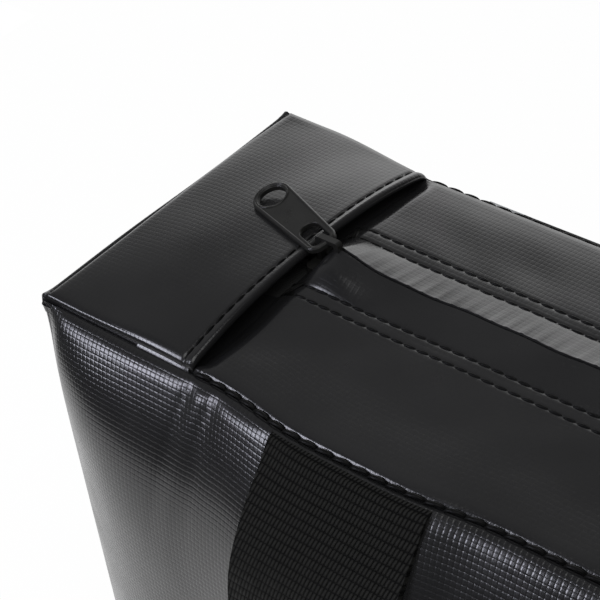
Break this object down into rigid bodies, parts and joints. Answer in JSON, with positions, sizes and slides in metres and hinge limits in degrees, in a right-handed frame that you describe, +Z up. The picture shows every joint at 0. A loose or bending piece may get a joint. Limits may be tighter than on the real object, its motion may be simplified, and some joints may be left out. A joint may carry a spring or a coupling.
{
  "type": "padded battery bag",
  "caption": "Box bag of coated fabric with padded walls, a hidden zip along the top under two flaps, and a webbing carry handle on each long side.",
  "frame": {"origin": "on the floor, under the middle of the base", "axes": "+X along the zip from its closed end, +Y from the front to the back, +Z up"},
  "size_m": [0.308, 0.111, 0.164],
  "materials": {
    "coated_fabric": "glossy coated weave",
    "padding": "matte batting",
    "lining": "satin woven glass cloth",
    "webbing": "matte ribbed webbing",
    "zip_tape": "matte twill tape",
    "zip_coil": "satin",
    "painted_metal": "satin black paint"
  },
  "bodies": {
    "shell": {"front_panel": "coated_fabric", "front_padding": "padding", "front_lining": "lining", "back_panel": "coated_fabric", "back_padding": "padding", "back_lining": "lining", "left_end_panel": "coated_fabric", "left_end_padding": "padding", "left_end_lining": "lining", "right_end_panel": "coated_fabric", "right_end_padding": "padding", "right_end_lining": "lining", "bottom_panel": "coated_fabric", "bottom_padding": "padding", "bottom_lining": "lining", "left_yoke": "coated_fabric", "left_flap_ends": "coated_fabric", "left_yoke_padding": "padding", "left_yoke_lining": "lining", "left_zip_tape_ends": "zip_tape", "left_zip_coil_ends": "zip_coil", "right_yoke": "coated_fabric", "right_flap_ends": "coated_fabric", "right_yoke_padding": "padding", "right_yoke_lining": "lining", "right_zip_tape_ends": "zip_tape", "right_zip_coil_ends": "zip_coil", "zip_top_stops": "painted_metal", "zip_bottom_stop": "painted_metal"},
    "slider": {"slider_body": "painted_metal"},
    "tab": {"pull_tab": "painted_metal"},
    "flap_front": {"front_flap": "coated_fabric", "front_flap_padding": "padding", "front_flap_lining": "lining", "front_zip_tape": "zip_tape", "front_zip_coil": "zip_coil"},
    "flap_back": {"back_flap": "coated_fabric", "back_flap_padding": "padding", "back_flap_lining": "lining", "back_zip_tape": "zip_tape", "back_zip_coil": "zip_coil"},
    "handle_front": {"front_handle": "webbing"},
    "handle_back": {"back_handle": "webbing"}
  },
  "joints": [
    {"name": "zip_travel", "type": "slide", "parent": "shell", "child": "slider", "axis": [1, 0, 0], "range_m": [0, 0.2076]},
    {"name": "tab_lift", "type": "hinge", "parent": "slider", "child": "tab", "pos_m": [-0.1048, 0, 0.16217], "axis": [0.4695, 0.8829, 0], "range_deg": [0, 170]},
    {"name": "front_flap_lift", "type": "hinge", "parent": "shell", "child": "flap_front", "pos_m": [0, -0.0385, 0.155], "axis": [1, 0, 0], "range_deg": [0, 75]},
    {"name": "back_flap_lift", "type": "hinge", "parent": "shell", "child": "flap_back", "pos_m": [0, 0.0385, 0.155], "axis": [-1, 0, 0], "range_deg": [0, 75]},
    {"name": "front_handle_swing", "type": "hinge", "parent": "shell", "child": "handle_front", "pos_m": [0, -0.0397, 0.155], "axis": [-1, 0, 0], "range_deg": [0, 165]},
    {"name": "back_handle_swing", "type": "hinge", "parent": "shell", "child": "handle_back", "pos_m": [0, 0.0397, 0.155], "axis": [1, 0, 0], "range_deg": [0, 165]}
  ]
}
